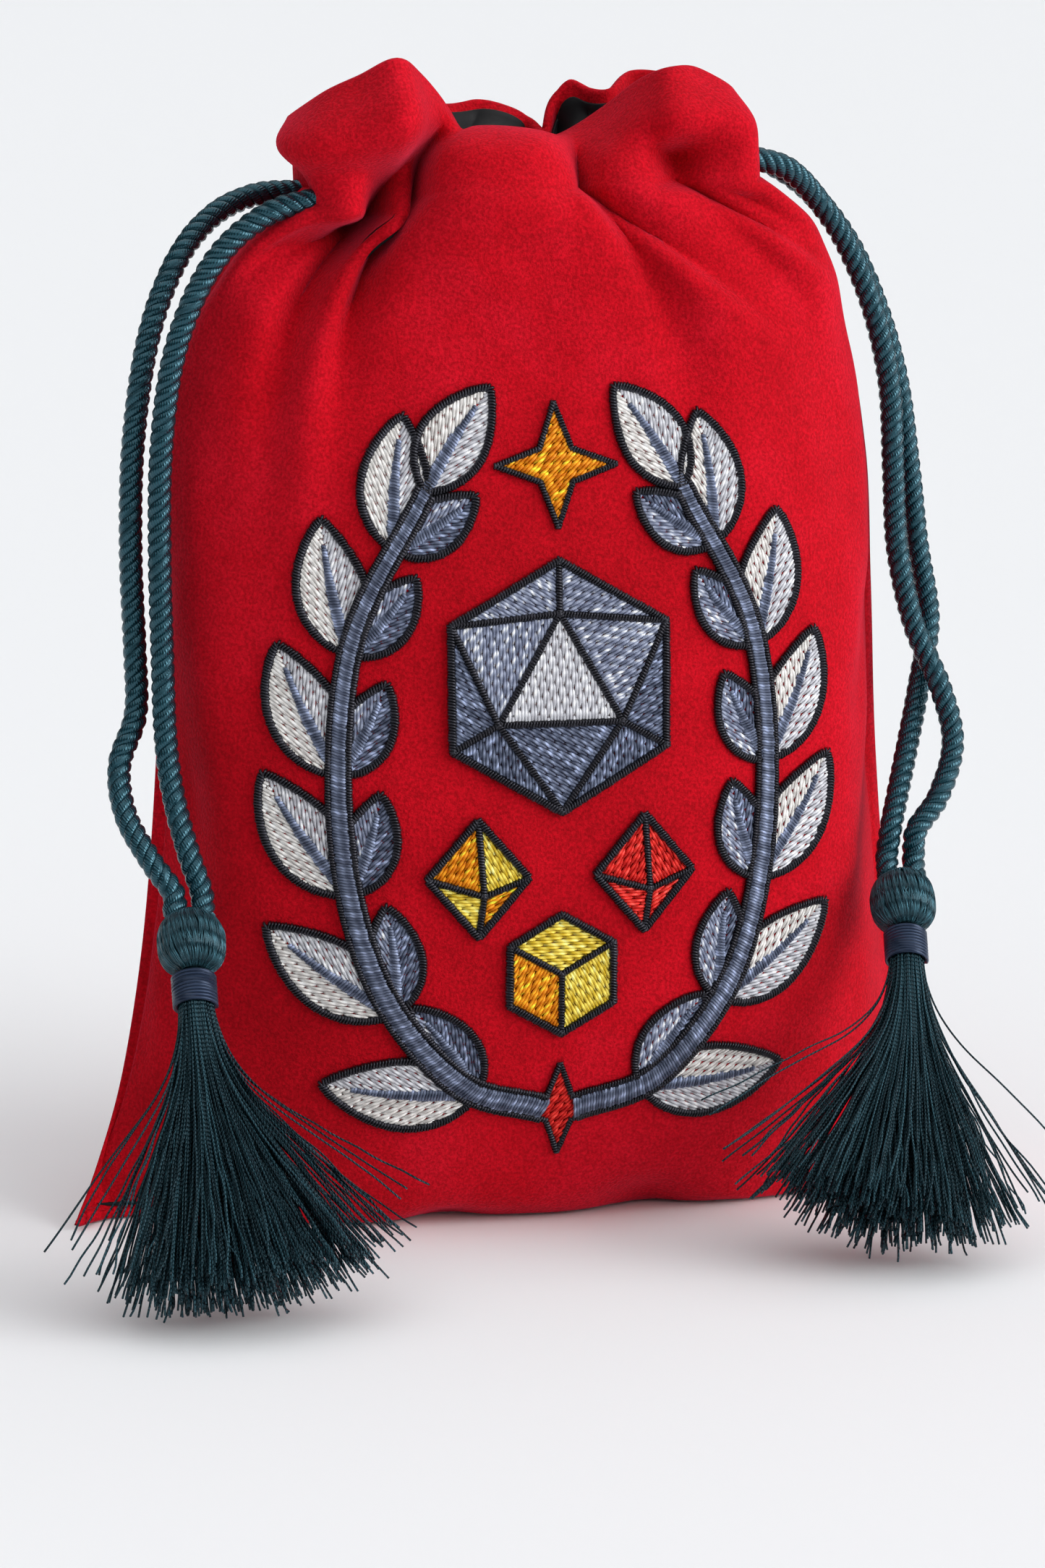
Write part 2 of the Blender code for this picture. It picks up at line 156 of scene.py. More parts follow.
def add_mesh(name, points, faces, material, values=None):
    """A mesh object from points in millimetres; values are named numbers or vectors, one for each point."""
    mesh = bpy.data.meshes.new(name)
    points = np.asarray(points, float).reshape(-1, 3) * MM
    faces = np.asarray(faces, np.int32)
    mesh.vertices.add(len(points))
    mesh.vertices.foreach_set("co", points.ravel())
    sides = faces.shape[1]
    mesh.loops.add(faces.size)
    mesh.loops.foreach_set("vertex_index", faces.ravel())
    mesh.polygons.add(len(faces))
    mesh.polygons.foreach_set("loop_start", np.arange(0, faces.size, sides, dtype=np.int32))
    mesh.update(calc_edges=True)
    for key, numbers in (values or {}).items():
        numbers = np.asarray(numbers, float)
        kind, field = ("FLOAT", "value") if numbers.ndim == 1 else ("FLOAT_VECTOR", "vector")
        mesh.attributes.new(key, kind, "POINT").data.foreach_set(field, numbers.ravel())
    mesh.materials.append(material)
    mesh.shade_smooth()
    made = bpy.data.objects.new(name, mesh)
    bpy.context.scene.collection.objects.link(made)
    return made


def grid_faces(rows, columns, offset=0, wrap=False, flip=False):
    """Quads of a grid of points indexed [row][column]; wrap joins the last column to the first."""
    i, j = np.meshgrid(np.arange(rows - 1), np.arange(columns if wrap else columns - 1), indexing="ij")
    i, j = i.ravel(), j.ravel()
    k = (j + 1) % columns
    low, high = offset + i * columns, offset + (i + 1) * columns
    quads = np.column_stack([low + j, low + k, high + k, high + j])
    return quads[:, ::-1] if flip else quads


def surface_normals(grid):
    """Unit normals of a grid of points, from its rows and columns."""
    return unit(np.cross(np.gradient(grid, axis=1), np.gradient(grid, axis=0)))


def finer(grid, times):
    """The same smooth surface with more rows and columns."""
    rows, columns = grid.shape[:2]
    grid = curve_through(grid, np.linspace(0, 1, (rows - 1) * times + 1))
    grid = curve_through(np.swapaxes(grid, 0, 1), np.linspace(0, 1, (columns - 1) * times + 1))
    return np.swapaxes(grid, 0, 1)


# ---------------------------------------------------------------- materials

class Nodes:
    """A short way to write a material's nodes."""

    def __init__(self, name):
        self.material = bpy.data.materials.new(name)
        self.material.use_nodes = True
        self.tree = self.material.node_tree
        self.shader = self.tree.nodes["Principled BSDF"]

    def add(self, kind, **settings):
        node = self.tree.nodes.new(kind)
        for key, value in settings.items():
            if key in node.inputs:
                self.link(value, node.inputs[key])
            else:
                setattr(node, key, value)
        return node

    def link(self, value, socket):
        if isinstance(value, bpy.types.NodeSocket):
            self.tree.links.new(value, socket)
        else:
            socket.default_value = value

    def set(self, **inputs):
        for key, value in inputs.items():
            self.link(value, self.shader.inputs[key.replace("_", " ")])

    def attribute(self, name):
        return self.add("ShaderNodeAttribute", attribute_name=name).outputs["Fac"]

    def noise(self, scale, detail=3.0, roughness=0.5):
        node = self.add("ShaderNodeTexNoise", Scale=scale, Detail=detail, Roughness=roughness)
        self.link(self.add("ShaderNodeTexCoord").outputs["Object"], node.inputs["Vector"])
        return node.outputs["Fac"]

    def math(self, operation, *values):
        node = self.add("ShaderNodeMath", operation=operation)
        for socket, value in zip(node.inputs, values):
            self.link(value, socket)
        return node.outputs[0]

    def ramp(self, value, *stops):
        node = self.add("ShaderNodeValToRGB", Fac=value)
        elements = node.color_ramp.elements
        while len(elements) < len(stops):
            elements.new(0.5)
        for element, (place, colour) in zip(elements, stops):
            element.position = place
            element.color = (*colour, 1)
        return node.outputs["Color"]

    def multiply(self, share, first, second):
        node = self.add("ShaderNodeMix", data_type="RGBA", blend_type="MULTIPLY")
        for socket, value in zip((node.inputs[0], node.inputs[6], node.inputs[7]), (share, first, second)):
            self.link(value, socket)
        return node.outputs[2]

    def bump(self, height, distance, strength=1.0, normal=None):
        node = self.add("ShaderNodeBump", Strength=strength, Distance=distance, Height=height)
        if normal:
            self.link(normal, node.inputs["Normal"])
        return node.outputs["Normal"]


def velvet_material():
    """Short pile: fine specks, its grain and painted glints of single fibres, a brushed nap and broad patches, with a
    pinkish sheen where it is seen edge on.
    """
    n = Nodes("velvet")
    pile = n.noise(2600, 2, 0.6)
    nap = n.noise(90, 4, 0.65)
    patches = n.noise(17, 3, 0.55)
    shade = n.math("MULTIPLY_ADD", nap, 0.4, n.math("MULTIPLY", patches, 0.6))
    base = n.ramp(shade, (0.3, (0.4, 0.0016, 0.007)), (0.5, (0.58, 0.003, 0.012)), (0.7, (0.74, 0.008, 0.026)))
    # Specks in the colour: grain of the pile, and painted glints of its single fibres.
    grain_and_fibre_glints = n.ramp(pile, (0.35, (0.5, 0.4, 0.4)), (0.66, (1.0, 1.0, 1.0)))
    normal = n.bump(nap, 0.001, 0.2, n.bump(pile, 0.0002, 0.8))
    n.set(Base_Color=n.multiply(0.8, base, grain_and_fibre_glints), Roughness=0.9, Normal=normal)
    n.set(Sheen_Weight=0.4, Sheen_Roughness=0.4, Sheen_Tint=(1.0, 0.1, 0.2, 1), Specular_IOR_Level=0.08)
    return n.material


def satin_material():
    """Black lining satin, softly creased."""
    n = Nodes("satin")
    weave = n.noise(1500, 2, 0.5)
    folds = n.noise(120, 3, 0.5)
    n.set(Base_Color=n.ramp(folds, (0.3, (0.003, 0.003, 0.004)), (0.7, (0.008, 0.008, 0.01))))
    n.set(Roughness=n.math("MULTIPLY_ADD", weave, 0.2, 0.38), Normal=n.bump(folds, 0.0006, 0.4))
    n.set(Sheen_Weight=0.05, Sheen_Roughness=0.4, Specular_IOR_Level=0.15)
    return n.material


def thread_material(name, dark, light, lines, slant, roughness=0.32, relief=0.9, shine=0.5):
    """Lustrous rayon with slanting filaments, so many lines round a thread, each line a bump and a painted highlight
    in the colour.

    Its mesh gives 'turn', the place round the thread, 'along', the place along it, and 'shade', its own tone.
    """
    n = Nodes(name)
    turn = n.attribute("turn")
    along = n.attribute("along")
    shade = n.attribute("shade")
    slanted = n.math("MULTIPLY_ADD", along, slant, turn)
    wave = n.math("SINE", n.math("MULTIPLY", slanted, lines * 2 * math.pi))
    wave = n.math("MULTIPLY_ADD", wave, 0.5, 0.5)
    # The colour's stripes along the twist are painted highlights; 'shade' adds each thread's own tone.
    tone = n.math("MULTIPLY_ADD", wave, 0.45, n.math("MULTIPLY", shade, 0.55))
    # The ramp's top stop is a painted glint, lighter than the thread's light tone.
    painted_glint = tuple(min(2.6 * c + 0.006, 0.95) for c in light)
    n.set(Base_Color=n.ramp(tone, (0.15, dark), (0.72, light), (0.97, painted_glint)), Roughness=roughness)
    tint = (*(0.3 + 0.7 * c / max(light) for c in light), 1)
    n.set(Normal=n.bump(wave, 0.0001, relief), Specular_IOR_Level=shine, Specular_Tint=tint)
    return n.material


MATERIALS = {
    "velvet": velvet_material(),
    "satin": satin_material(),
    "cord": thread_material("cord", (0.0003, 0.002, 0.004), (0.004, 0.03, 0.042), 7.0, 0.55, 0.2, 0.3, 1.0),
    "thread": thread_material("thread", (0.0008, 0.003, 0.005), (0.012, 0.038, 0.05), 1.0, 1.7, 0.26),
    # The head's tones are lighter than the skirt's thread: painted sheen on its combed threads.
    "head": thread_material("head", (0.002, 0.009, 0.014), (0.03, 0.085, 0.11), 1.0, 0.5, 0.28),
    "binding": thread_material("binding", (0.003, 0.006, 0.015), (0.024, 0.038, 0.072), 2.0, 0.06),
}


# ---------------------------------------------------------------- camera, floor and light

def add_camera():
    azimuth, elevation = math.radians(AZIMUTH), math.radians(ELEVATION)
    level = math.cos(elevation)
    back = Vector((math.sin(azimuth) * level, -math.cos(azimuth) * level, math.sin(elevation)))
    data = bpy.data.cameras.new("camera")
    data.sensor_fit = "HORIZONTAL"
    data.sensor_width = SENSOR
    data.lens = LENS
    data.clip_start, data.clip_end = 0.01, 100
    camera = bpy.data.objects.new("camera", data)
    camera.location = (Vector(TARGET) + back * DISTANCE) * MM
    camera.rotation_euler = (-back).to_track_quat("-Z", "Y").to_euler()
    bpy.context.scene.collection.objects.link(camera)
    bpy.context.scene.camera = camera


def add_sun(name, direction, strength, spread):
    """A soft sun that shines from the given direction; spread in degrees."""
    data = bpy.data.lights.new(name, "SUN")
    data.energy = strength
    data.angle = math.radians(spread)
    light = bpy.data.objects.new(name, data)
    light.rotation_euler = (-Vector(direction)).to_track_quat("-Z", "Y").to_euler()
    bpy.context.scene.collection.objects.link(light)


def add_backdrop():
    """A pale wall far away all round, which only the camera sees, so that it neither lights nor shades anything."""
    angles = np.linspace(0, 2 * math.pi, BACKDROP_SIDES + 1)[:-1]
    ring = np.column_stack([np.cos(angles), np.sin(angles)]) * BACKDROP_RADIUS
    points = [(x, y, z) for z in (0, 2 * BACKDROP_RADIUS) for x, y in ring]
    n = Nodes("backdrop")
    n.set(Base_Color=(0, 0, 0, 1), Specular_IOR_Level=0, Roughness=1)
    n.set(Emission_Color=(0.88, 0.895, 0.92, 1), Emission_Strength=1)
    wall = add_mesh("backdrop", points, grid_faces(2, BACKDROP_SIDES, wrap=True, flip=True), n.material)
    wall.visible_diffuse = wall.visible_glossy = wall.visible_transmission = wall.visible_shadow = False


def add_studio():
    n = Nodes("floor")
    n.set(Base_Color=(0.9, 0.91, 0.93, 1), Roughness=0.8, Specular_IOR_Level=0.1)
    corners = [(x * BACKDROP_RADIUS, y * BACKDROP_RADIUS, 0) for x, y in ((-1, -1), (1, -1), (1, 1), (-1, 1))]
    add_mesh("floor", corners, [(0, 1, 2, 3)], n.material)
    add_backdrop()
    world = bpy.data.worlds.new("studio")
    bpy.context.scene.world = world
    bpy.context.scene.view_settings.view_transform = "Standard"
    world.use_nodes = True
    glow = world.node_tree.nodes["Background"].inputs
    glow["Color"].default_value = (0.92, 0.96, 1.0, 1)
    glow["Strength"].default_value = 0.13
    add_sun("key", (1.0, -0.68, 0.24), 3.05, 50)
    add_sun("top", (0.15, -0.15, 1.0), 2.15, 110)


# ---------------------------------------------------------------- tassel placement

def tassel_matrix(pivot, toe):
    """A tassel's own axes: pivot at the origin, -Z down the tassel to its toe, X across the skirt."""
    reach = Vector((toe[0] - pivot[0], toe[1] - pivot[1]))
    drop = math.sqrt(SKIRT_END**2 - reach.length_squared)
    axis = Vector((reach.x, reach.y, -drop)).normalized()
    across = (Vector((1, 0, 0)) - axis * axis.x).normalized()
    through = across.cross(axis)
    edge = SKIRT_HALF_THICKNESS * abs(through.z) + SKIRT_HALF_WIDTH * abs(across.z)
    place = Matrix((across, through, -axis)).transposed().to_4x4()
    place.translation = (pivot[0], pivot[1], drop + edge + FLOOR_CLEARANCE)
    return place


# ---------------------------------------------------------------- cords

def frames_along(path):
    """Two steady unit directions across a path, at each of its points."""
    tangents = unit(np.gradient(path, axis=0))
    first = np.cross(tangents[0], (0, 0, 1.0))
    if np.linalg.norm(first) < 0.1:
        first = np.cross(tangents[0], (0, 1.0, 0))
    sides = [unit(first)]
    for tangent in tangents[1:]:
        sides.append(unit(sides[-1] - tangent * np.dot(sides[-1], tangent)))
    sides = np.array(sides)
    return sides, np.cross(tangents, sides)


def tube(path, radius, segments):
    """Rings of points round a path, and their places round and along it."""
    side, other = frames_along(path)
    angles = np.linspace(0, 2 * math.pi, segments, endpoint=False)
    radius = np.broadcast_to(radius, (len(path),))
    spokes = np.cos(angles)[None, :, None] * side[:, None] + np.sin(angles)[None, :, None] * other[:, None]
    rings = path[:, None] + radius[:, None, None] * spokes
    turn = np.tile(angles / (2 * math.pi), len(path))
    return rings.reshape(-1, 3), turn, np.repeat(lengths_along(path), segments)


def capped_tube_faces(rings, segments, offset):
    """Side quads of one tube, with each end closed by quads folded across it."""
    faces = [grid_faces(rings, segments, offset, wrap=True)]
    last = offset + (rings - 1) * segments
    for start, flip in ((offset, True), (last, False)):
        for k in range(1, segments // 2):
            quad = [start + k - 1, start + k, start + segments - 1 - k, start + segments - k]
            faces.append(np.array([quad[::-1] if flip else quad]))
    return np.vstack(faces)


class Bundle:
    """Collects many tubes into one mesh."""

    def __init__(self):
        self.points, self.faces = [], []
        self.values = {"turn": [], "along": [], "shade": []}
        self.count = 0

    def add(self, path, radius, segments, shade):
        points, turn, along = tube(path, radius, segments)
        self.faces.append(capped_tube_faces(len(path), segments, self.count))
        self.points.append(points)
        for key, numbers in (("turn", turn), ("along", along), ("shade", np.full(len(points), shade))):
            self.values[key].append(numbers)
        self.count += len(points)

    def build(self, name, material):
        values = {key: np.concatenate(numbers) for key, numbers in self.values.items()}
        return add_mesh(name, np.vstack(self.points), np.vstack(self.faces), material, values)


def add_strand(name, route, material):
    """A three-ply twisted cord along a route; returns the object and its centre line."""
    path = evenly_spaced(route, CORD_STEP)
    side, other = frames_along(path)
    length = np.linspace(0, lengths_along(path)[-1], len(path))
    bundle = Bundle()
    for ply in range(PLIES):
        angle = 2 * math.pi * (length / LAY_LENGTH + ply / PLIES)
        centre = path + PLY_OFFSET * (np.cos(angle)[:, None] * side + np.sin(angle)[:, None] * other)
        bundle.add(centre, PLY_RADIUS, PLY_SEGMENTS, PLY_SHADES[ply])
    return bundle.build(name, material), evenly_spaced(route, ROUTE_STEP)


# ---------------------------------------------------------------- pouch cloth

# The drawn-in neck: place across the cloth, -1 to 1, then points at the channel's foot and top, and at the
# middle and top of the frill
FRONT_NECK = [
    (-1.0, (-24, 1, 130), (-25.5, 1, 134), (-27, 2, 137), (-27, 3, 139)),
    (-0.9, (-26.5, -5, 129.5), (-28.5, -6.5, 132.5), (-31.5, -7, 135.5), (-29.5, -3, 138.5)),
    (-0.78, (-27, -10, 128), (-27, -10.5, 132), (-29, -13, 135.5), (-26, -8, 141.5)),
    (-0.67, (-23, -12, 127.5), (-22.5, -11, 132), (-23.5, -15.5, 136.5), (-22, -10, 143.5)),
    (-0.57, (-19.5, 5, 126), (-18.5, -3, 131), (-17.5, -17, 137.5), (-18, -12, 145.5)),
    (-0.49, (-17, -9.5, 127), (-15.5, -4, 133), (-14, -10, 138.5), (-14.5, -8, 143.5)),
    (-0.42, (-14.5, 2, 127.5), (-13, 1, 132.5), (-11.5, -6, 138), (-11, -4.5, 140)),
    (-0.34, (-13.5, -10, 129), (-12, -9, 134), (-9.5, -7, 136.5), (-8, 0, 136.5)),
    (-0.24, (-11, -14.5, 130), (-9.5, -12, 135), (-7, -6, 137), (-5, 1.5, 135.5)),
    (-0.08, (-6, -16.5, 130), (-5, -13.5, 135), (-3.5, -7, 137), (-2, 1, 135)),
    (0.08, (-1, -16, 130), (-0.5, -13, 135), (0.5, -7, 136.5), (1.5, 1, 135)),
    (0.2, (3.5, -12.5, 130), (3, -10, 134), (4, -5, 135.5), (5, 2, 135.5)),
    (0.28, (6, -5, 129.5), (6, -4, 133), (6.5, -2.5, 135), (8, 2, 137)),
    (0.39, (8.5, -11.5, 130), (9, -9.5, 133.5), (10, -6, 136), (11.5, 1, 139.5)),
    (0.53, (13, -13, 130), (13, -10, 134), (13.5, -9, 138), (14.5, -3, 142.5)),
    (0.65, (17.5, -8, 130.5), (17.5, -6, 134), (16.5, -12.5, 138), (17, -7, 144)),
    (0.77, (21.5, -11.5, 130.5), (21.5, -10, 134.5), (21.5, -12, 138.5), (21, -5, 144)),
    (0.89, (27, -11.5, 130.5), (27, -11, 134.5), (27, -9.5, 138), (25.5, -5, 141.5)),
    (1.0, (29, 1, 131.5), (28, 1, 134.5), (27, 1, 137.5), (27, 3, 139)),
]
BACK_NECK = [
    (-1.0, (-24, 1, 130), (-25.5, 1, 134), (-27, 2, 137), (-27, 3, 139)),
    (-0.86, (-26.5, 11, 129), (-26.5, 10.5, 133), (-25.5, 12, 136), (-24.5, 10, 139.5)),
    (-0.72, (-19, 4.5, 130), (-19, 4.5, 133.5), (-18, 9, 136), (-17.5, 12.5, 139)),
    (-0.58, (-15, 12.5, 129.5), (-15, 10, 133.5), (-13, 13.5, 136.5), (-12, 15, 139.5)),
    (-0.44, (-11.5, 6, 130), (-11, 5, 133.5), (-9, 10.5, 136), (-7, 14, 139)),
    (-0.3, (-7, 13, 129.5), (-6.5, 10.5, 133), (-3.5, 14, 136.5), (-2.5, 15.5, 139.5)),
    (-0.16, (-3, 6, 130), (-2.5, 5, 133.5), (-0.5, 11, 136), (1.5, 14.5, 138.5)),
    (-0.03, (1.5, 12.5, 129.5), (1.5, 10, 133), (3, 13, 135), (4, 13, 137)),
    (0.08, (4, 6.5, 130), (4, 6, 133.5), (4.5, 9, 134.5), (5, 9.5, 136)),
    (0.2, (7.5, 13, 129.5), (7.5, 11, 133), (7, 13, 135.5), (6.5, 12, 139.5)),
    (0.31, (10, 6.5, 130), (9.5, 6, 133.5), (9.5, 10, 137), (9, 12.5, 142)),
    (0.42, (13, 12.5, 129.5), (12, 10, 133), (11.5, 9.5, 137.5), (11, 9.5, 141)),
    (0.52, (14.5, 6, 130), (13.5, 5.5, 133.5), (13, 6.5, 137), (13, 7.5, 141)),
    (0.64, (18.5, 12.5, 129.5), (18, 10, 133), (17.5, 11.5, 138), (16.5, 11.5, 143)),
    (0.76, (21.5, 7, 130), (21, 6, 133.5), (21, 9.5, 138), (20.5, 11, 143)),
    (0.88, (26.5, 10, 130), (26, 8.5, 134), (25.5, 9, 138), (24.5, 8, 142)),
    (1.0, (29, 1, 131.5), (28, 1, 134.5), (27, 1, 137.5), (27, 3, 139)),
]
NECK_LEVELS = (0.0, 0.36, 0.68, 1.0)
# How far below the neck its broad shape and its narrow gathers still show
BROAD_REACH, NARROW_REACH = 46.0, 20.0
# Creases that run down from the neck: start and end as (place across, distance below the neck), how far the
# cloth stands out along it, and how wide the crease is on its left and its right, all in millimetres
FRONT_CREASES = [
    ((-33, -4), (-41, 22), -7.5, 6.0, 3.0),
    ((-27, 0), (-35, 22), 1.6, 4.0, 4.0),
    ((-22, 2), (-26, 16), -1.6, 3.0, 3.0),
    ((15, -2), (31, 32), 3.6, 9.0, 1.9),
    ((36, -2), (50, 26), 3.0, 6.0, 1.8),
    ((-46, 2), (-54, 34), 1.6, 6.0, 3.5),
    ((48, 2), (56, 22), -1.4, 3.0, 4.0),
    ((-44, 76), (-58, 60), -1.5, 5.0, 6.0),
    ((-36, 124), (-57, 110), -1.6, 7.0, 6.0),
    ((10, 128), (38, 116), 1.0, 7.0, 5.0),
]
BACK_CREASES = [
    ((-40, -2), (-50, 30), -2.5, 5.0, 4.0),
    ((-18, -2), (-28, 36), 2.4, 3.0, 8.0),
    ((3, -2), (1, 34), -2.4, 5.0, 3.0),
    ((18, -2), (30, 32), 2.4, 8.0, 3.0),
    ((38, -2), (50, 26), -2.2, 4.0, 5.0),
]
# The cloth simulation runs on a copy this many times as big, for this many steps. The cloth starts this much too
# small, and no point moves further than the limit. Every point is held a little in place, and the edges more.
SIM_SCALE, SIM_FRAMES, SIM_GROWTH, SIM_LIMIT = 10.0, 30, 0.035, 3.2
SOFT_HOLD, EDGE_HOLD = 0.03, 0.4
CLOTH_SETTINGS = {
    "quality": 6, "mass": 0.3, "air_damping": 5, "shear_stiffness": 8, "bending_stiffness": 12, "bending_damping": 4,
    **{f"{strain}_stiffness": 30 for strain in ("tension", "compression")},
    **{f"{strain}_damping": 10 for strain in ("tension", "compression", "shear")},
    "vertex_group_mass": "hold", "pin_stiffness": 1.0, "shrink_min": -SIM_GROWTH,
    "use_pressure": True, "uniform_pressure_force": 0.4,
}


def neck_rows(cage, across, levels):
    """The cloth from the channel's foot to the top edge through a cage of points, indexed [level][column]."""
    places = [column[0] for column in cage]
    points = np.array([column[1:] for column in cage], float).reshape(len(cage), -1)
    shares = np.interp(across, places, np.linspace(0, 1, len(cage)))
    columns = curve_through(points, shares).reshape(len(across), -1, 3)
    at = np.interp(levels, NECK_LEVELS, np.linspace(0, 1, len(NECK_LEVELS)))
    return curve_through(columns.transpose(1, 0, 2), at)


def blurred(row, width):
    """A row of points with everything narrower than the given number of columns smoothed away."""
    steps = np.arange(-3 * width, 3 * width + 1)
    weight = np.exp(-((steps / width) ** 2))
    count = len(row)
    padded = np.concatenate([2 * row[0] - row[3 * width:0:-1], row, 2 * row[-1] - row[-2:-3 * width - 2:-1]])
    return np.array([(padded[k:k + len(steps)] * weight[:, None]).sum(0) / weight.sum() for k in range(count)])


def crease_relief(creases, across, below):
    """How far creases lift the cloth, indexed [row][column]."""
    s, b = np.meshgrid(FLAT_HALF * across, below)
    relief = np.zeros_like(s)
    for (s0, b0), (s1, b1), height, left, right in creases:
        way = np.array([s1 - s0, b1 - b0])
        length = np.linalg.norm(way)
        way = way / length
        along = ((s - s0) * way[0] + (b - b0) * way[1]) / length
        aside = (s - s0) * way[1] - (b - b0) * way[0] + 2.5 * np.sin(math.pi * np.clip(along, 0, 1))
        width = np.where(aside < 0, left, right) * (0.6 + 0.8 * np.clip(along, 0, 1))
        ends = smoothstep((along + 0.25) / 0.4) * smoothstep((1.15 - along) / 0.7)
        relief += height * ends * np.exp(-((aside / width) ** 2))
    return relief


def filled_shape(side, across):
    """Where the filled pouch's cloth lies before it is relaxed, indexed [row][column]."""
    shares = np.linspace(0, 1, ROWS + 1)
    below = FLAT_HEIGHT * (1 - shares)
    seam = curve_through(SIDE_SEAM, shares)
    middle = curve_through(MIDDLE_LINE, shares)
    swing = np.sin(across * math.pi / 2 * 0.92) / math.sin(math.pi / 2 * 0.92)
    lens = (1 - np.abs(swing) ** 2.6) ** 0.8
    lift = smoothstep((np.abs(across) - 0.55) / 0.45)
    x = np.outer(seam[:, 0], swing)
    y = side * np.outer(middle[:, 0], lens)
    z = middle[:, 1:] + np.outer(seam[:, 1] - middle[:, 1], lift)
    body = np.dstack([x, y, z])
    neck = neck_rows(FRONT_NECK if side < 0 else BACK_NECK, across, np.zeros(1))[0]
    move = neck - body[-1]
    broad = blurred(move, 7)
    broad[0], broad[-1] = move[0], move[-1]
    body += smoothstep(1 - below / BROAD_REACH)[:, None, None] ** 1.4 * broad
    body += np.exp(-((below / NARROW_REACH) ** 1.3))[:, None, None] * (move - broad)
    relief = crease_relief(FRONT_CREASES if side < 0 else BACK_CREASES, across, below)
    relief *= smoothstep(below / 4)[:, None] * smoothstep((1 - np.abs(across)) / 0.05)[None]
    body[:, :, 1] += side * relief
    twist = np.exp(-shares * FLAT_HEIGHT / 24)[:, None] * (8.0 * across - 1.0)[None]
    body[:, :, 1] += twist * np.abs(across)[None] ** 2
    return body


def frill_shape(side, across):
    """The cloth above the neck's lowest row: the drawstring channel, then the frill."""
    return neck_rows(FRONT_NECK if side < 0 else BACK_NECK, across, np.linspace(0, 1, FRILL_ROWS + 1))


def smoothed(field, times):
    """A field over the grid with its interior averaged with its neighbours."""
    for _ in range(times):
        inner = field[1:-1, 1:-1]
        around = (field[:-2, 1:-1] + field[2:, 1:-1] + field[1:-1, :-2] + field[1:-1, 2:]) / 4
        field = field.copy()
        field[1:-1, 1:-1] = (inner + around) / 2
    return field


def relax_cloth(front, back):
    """Sew the two panels into a bag a little larger than its filled shape, and let the spare cloth settle."""
    rows, columns = front.shape[:2]
    count = rows * columns
    index = {-1: np.arange(count).reshape(rows, columns), 1: np.full((rows, columns), -1)}
    back_index = index[1]
    back_index[:, 0], back_index[:, -1], back_index[0] = index[-1][:, 0], index[-1][:, -1], index[-1][0]
    free = back_index < 0
    back_index[free] = count + np.arange(free.sum())
    total = count + int(free.sum())
    points = np.zeros((total, 3))
    hold = np.full((rows, columns), SOFT_HOLD)
    hold[-1] = hold[0] = 1.0
    hold[1] = hold[-2] = EDGE_HOLD
    weights = np.zeros(total)
    for side, grid in ((1, back), (-1, front)):
        points[index[side].ravel()] = grid.reshape(-1, 3)
        weights[index[side].ravel()] = hold.ravel()
    quads = []
    for side in (-1, 1):
        i = index[side]
        quad = np.stack([i[:-1, :-1], i[:-1, 1:], i[1:, 1:], i[1:, :-1]], axis=-1).reshape(-1, 4)
        quads.append(quad if side < 0 else quad[:, ::-1])
    cloth = add_mesh("cloth_being_relaxed", points * SIM_SCALE, np.vstack(quads), MATERIALS["velvet"])
    group = cloth.vertex_groups.new(name="hold")
    for level in np.unique(weights):
        group.add([int(v) for v in np.flatnonzero(weights == level)], float(level), "REPLACE")
    modifier = cloth.modifiers.new("cloth", "CLOTH")
    settings = modifier.settings
    for name, value in CLOTH_SETTINGS.items():
        setattr(settings, name, value)
    settings.effector_weights.gravity = 0
    modifier.collision_settings.use_collision = False
    scene = bpy.context.scene
    modifier.point_cache.frame_start, modifier.point_cache.frame_end = 1, SIM_FRAMES
    for step in range(1, SIM_FRAMES + 1):
        scene.frame_set(step)
    settled = cloth.evaluated_get(bpy.context.evaluated_depsgraph_get()).to_mesh()
    result = np.empty(total * 3)
    settled.vertices.foreach_get("co", result)
    result = result.reshape(-1, 3) / (SIM_SCALE * MM)
    scene.frame_set(1)
    bpy.data.objects.remove(cloth)
    relaxed = []
    for side, grid in ((-1, front), (1, back)):
        move = result[index[side]] - grid
        far = np.linalg.norm(move, axis=2, keepdims=True)
        move = smoothed(move / np.maximum(far / SIM_LIMIT, 1), 6)
        move[:, 0] = move[:, -1] = move[0] = 0
        relaxed.append(grid + move)
    return relaxed


def closed_sheet(name, middle, thickness, material, toward):
    """A closed cloth layer round a grid of points, with a rounded top edge.

    Its outer face lies half the thickness along the grid's normals, times toward, 1 or -1.
    """
    rows, columns = middle.shape[:2]
    normal = surface_normals(middle) * toward
    half = np.broadcast_to(thickness, (rows, columns))[:, :, None] / 2
    outer, inner = middle + normal * half, middle - normal * half
    up = unit(middle[-1] - middle[-2])
    rims = [middle[-1] + half[-1] * (normal[-1] * math.cos(angle) + up * math.sin(angle))
            for angle in np.radians((45, 90, 135))]
    loop = np.concatenate([outer, np.array(rims), inner[::-1]])
    total = len(loop)
    faces = [grid_faces(total, columns, flip=toward < 0)]
    for column, flip in ((0, toward < 0), (columns - 1, toward > 0)):
        for i in range((total - 1) // 2):
            quad = [k * columns + column for k in (i, i + 1, total - 2 - i, total - 1 - i)]
            if len(set(quad)) == 4:
                faces.append(np.array([quad[::-1] if flip else quad]))
    first, last = np.arange(columns), np.arange(columns) + (total - 1) * columns
    closing = np.column_stack([first[:-1], last[:-1], last[1:], first[1:]])
    faces.append(closing[:, ::-1] if toward < 0 else closing)
    return add_mesh(name, loop, np.vstack(faces), material)


